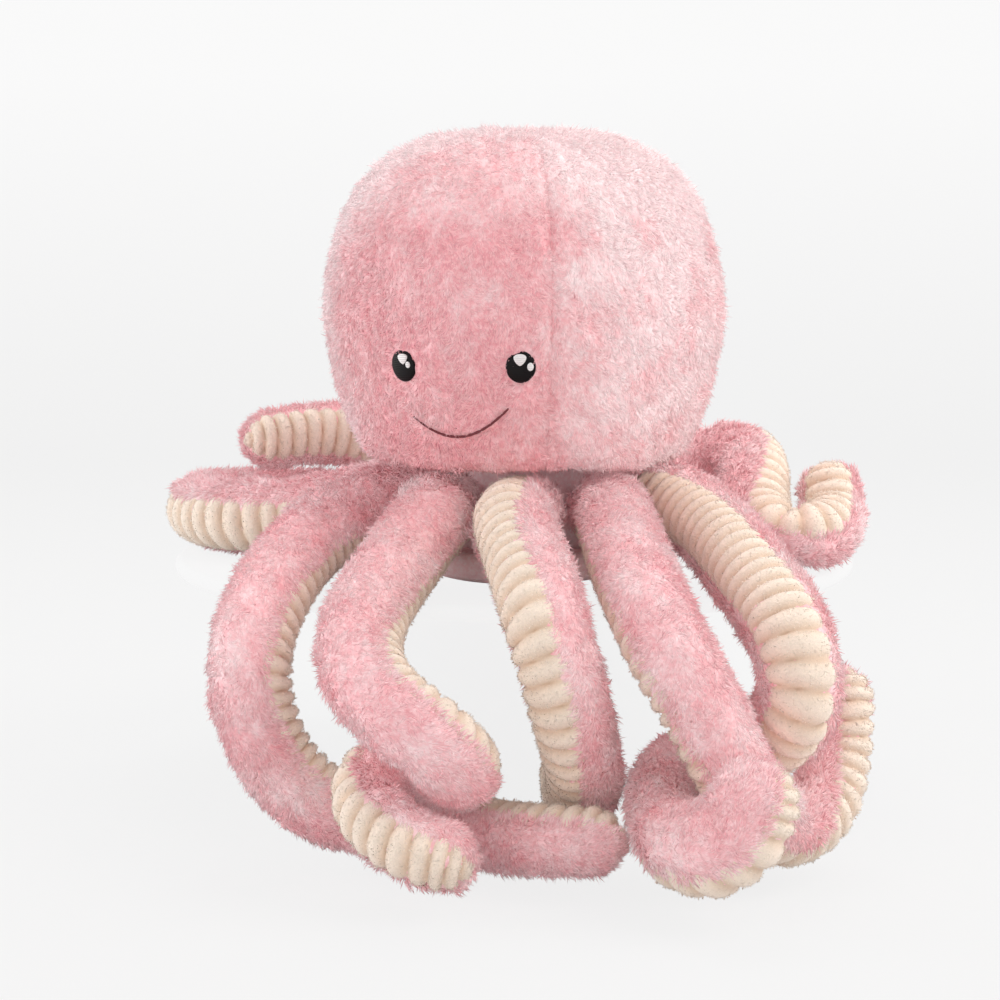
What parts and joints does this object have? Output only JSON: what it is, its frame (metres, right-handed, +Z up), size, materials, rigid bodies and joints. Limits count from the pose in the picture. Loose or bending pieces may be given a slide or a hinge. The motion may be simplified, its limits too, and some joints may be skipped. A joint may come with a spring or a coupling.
{
  "type": "plush octopus",
  "caption": "Stuffed toy octopus with a round panelled head, an embroidered face and curling arms with ribbed undersides, draped over an edge.",
  "frame": {"origin": "centre of the flat underside of the base panel, which rests on a table top", "axes": "+Z up, -Y towards the viewer, +X to the viewer's right; the face is turned 22 degrees from -Y towards -X"},
  "size_m": [0.3537, 0.3846, 0.3259],
  "materials": {
    "pink_plush": "soft long-pile plush, matt",
    "cream_plush": "short-pile plush in ribs, matt",
    "filling": "polyester fibre filling",
    "black_thread": "satin-stitch embroidery",
    "white_thread": "satin-stitch embroidery",
    "maroon_thread": "laid embroidery thread"
  },
  "bodies": {
    "head": {"head_gore_front": "pink_plush", "head_gore_right_front": "pink_plush", "head_gore_right_back": "pink_plush", "head_gore_back": "pink_plush", "head_gore_left_back": "pink_plush", "head_gore_left_front": "pink_plush", "head_filling": "filling", "base_panel": "pink_plush", "left_eye": "black_thread", "left_eye_large_glint": "white_thread", "left_eye_small_glint": "white_thread", "right_eye": "black_thread", "right_eye_large_glint": "white_thread", "right_eye_small_glint": "white_thread", "smile_stitch": "maroon_thread"},
    "front_arm": {"front_arm_cover": "pink_plush", "front_arm_underside": "cream_plush", "front_arm_filling": "filling"},
    "front_right_arm": {"front_right_arm_cover": "pink_plush", "front_right_arm_underside": "cream_plush", "front_right_arm_filling": "filling"},
    "right_arm": {"right_arm_cover": "pink_plush", "right_arm_underside": "cream_plush", "right_arm_filling": "filling"},
    "back_right_arm": {"back_right_arm_cover": "pink_plush", "back_right_arm_underside": "cream_plush", "back_right_arm_filling": "filling"},
    "back_arm": {"back_arm_cover": "pink_plush", "back_arm_underside": "cream_plush", "back_arm_filling": "filling"},
    "back_left_arm": {"back_left_arm_cover": "pink_plush", "back_left_arm_underside": "cream_plush", "back_left_arm_filling": "filling"},
    "left_arm": {"left_arm_cover": "pink_plush", "left_arm_underside": "cream_plush", "left_arm_filling": "filling"},
    "front_left_arm": {"front_left_arm_cover": "pink_plush", "front_left_arm_underside": "cream_plush", "front_left_arm_filling": "filling"}
  },
  "joints": [
    {"name": "front_arm_swing", "type": "hinge", "parent": "head", "child": "front_arm", "pos_m": [0.00045, -0.052, 0.035], "axis": [0.9007, 0.3803, 0.2102], "range_deg": [-4, 35]},
    {"name": "front_right_arm_swing", "type": "hinge", "parent": "head", "child": "front_right_arm", "pos_m": [0.03709, -0.03645, 0.035], "axis": [0, 0.65, 0.76], "range_deg": [-1, 5]},
    {"name": "right_arm_swing", "type": "hinge", "parent": "head", "child": "right_arm", "pos_m": [0.052, 0.00045, 0.035], "axis": [-0.1596, 0.8577, 0.4887], "range_deg": [-5, 4]},
    {"name": "back_right_arm_swing", "type": "hinge", "parent": "head", "child": "back_right_arm", "pos_m": [0.03645, 0.03709, 0.035], "axis": [-0.2606, -0.7216, 0.6414], "range_deg": [-35, 35]},
    {"name": "back_arm_swing", "type": "hinge", "parent": "head", "child": "back_arm", "pos_m": [-0.00045, 0.052, 0.035], "axis": [0.8427, -0.4815, 0.2408], "range_deg": [-35, 12]},
    {"name": "back_left_arm_swing", "type": "hinge", "parent": "head", "child": "back_left_arm", "pos_m": [-0.03709, 0.03645, 0.035], "axis": [0.6081, -0.7178, 0.339], "range_deg": [-10, 35]},
    {"name": "left_arm_swing", "type": "hinge", "parent": "head", "child": "left_arm", "pos_m": [-0.052, -0.00045, 0.035], "axis": [0, 0.65, 0.76], "range_deg": [-3, 9]},
    {"name": "front_left_arm_swing", "type": "hinge", "parent": "head", "child": "front_left_arm", "pos_m": [-0.03645, -0.03709, 0.035], "axis": [0.0301, 0.9431, 0.3311], "range_deg": [-10, 15]}
  ]
}
